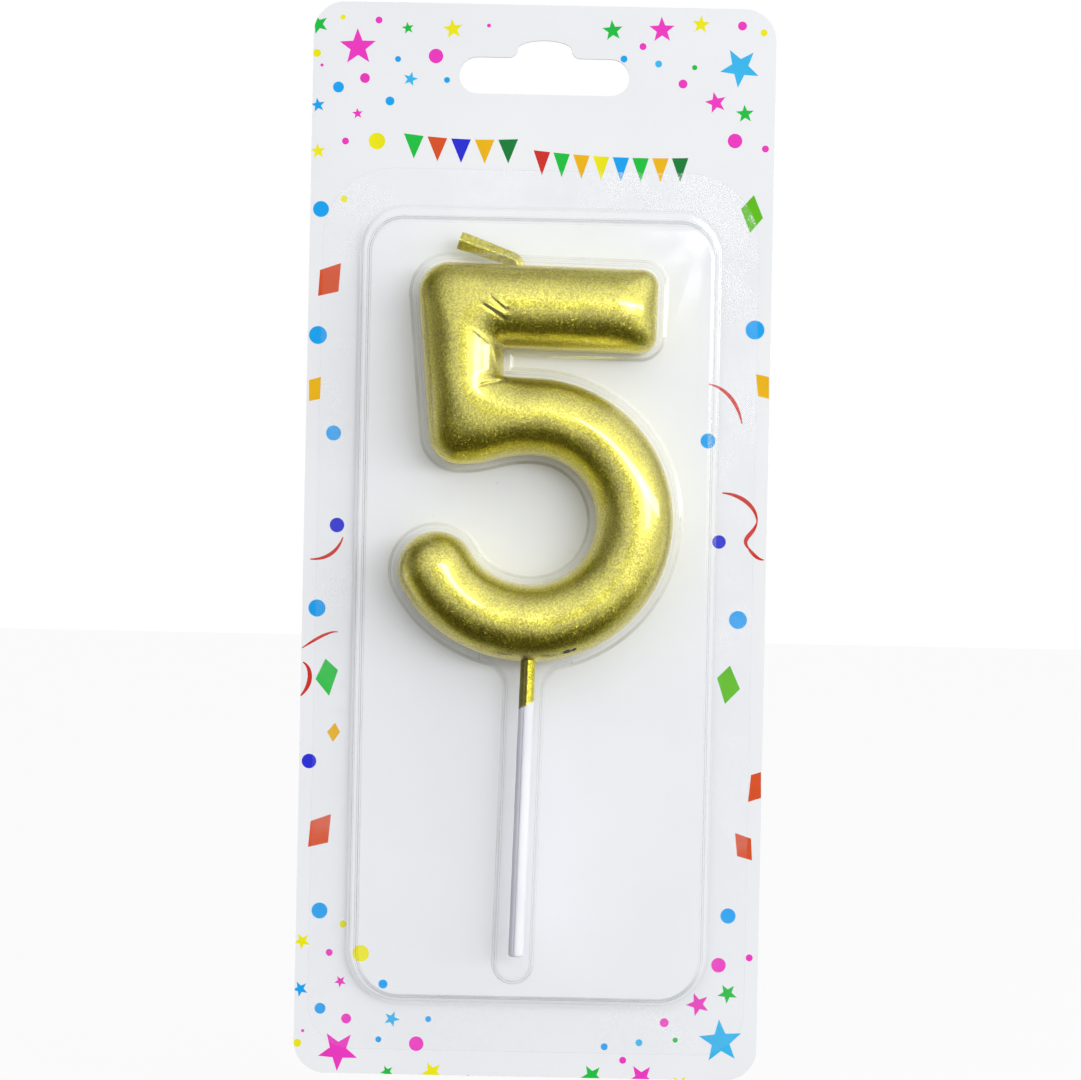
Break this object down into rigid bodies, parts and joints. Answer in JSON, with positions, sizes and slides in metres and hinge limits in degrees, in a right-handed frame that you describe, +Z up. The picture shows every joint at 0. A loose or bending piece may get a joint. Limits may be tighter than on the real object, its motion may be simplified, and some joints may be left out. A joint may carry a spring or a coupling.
{
  "type": "number candle",
  "caption": "Gold wax digit candle on a paper stick, hung for sale under a clear formed blister heat-sealed to a printed card with a hook hole.",
  "frame": {"origin": "centre of the card's hook hole, on the card's front face", "axes": "+Z up the card as it hangs, +X to the right seen from the front, +Y out of the card's back"},
  "size_m": [0.087, 0.0141, 0.2015],
  "materials": {
    "gold_wax": "paraffin wax under metallic gold lacquer with fine flake",
    "gold_wick": "flat cotton braid dipped in the same gold lacquer",
    "rolled_paper": "white rolled paper, gold overspray at its top",
    "printed_card": "white coated board with printed confetti",
    "clear_blister": "clear thermoformed sheet, knurled along its seal"
  },
  "bodies": {
    "root": {"wax_body": "gold_wax", "wick": "gold_wick", "stick": "rolled_paper", "backing_card": "printed_card", "blister": "clear_blister"}
  },
  "joints": []
}
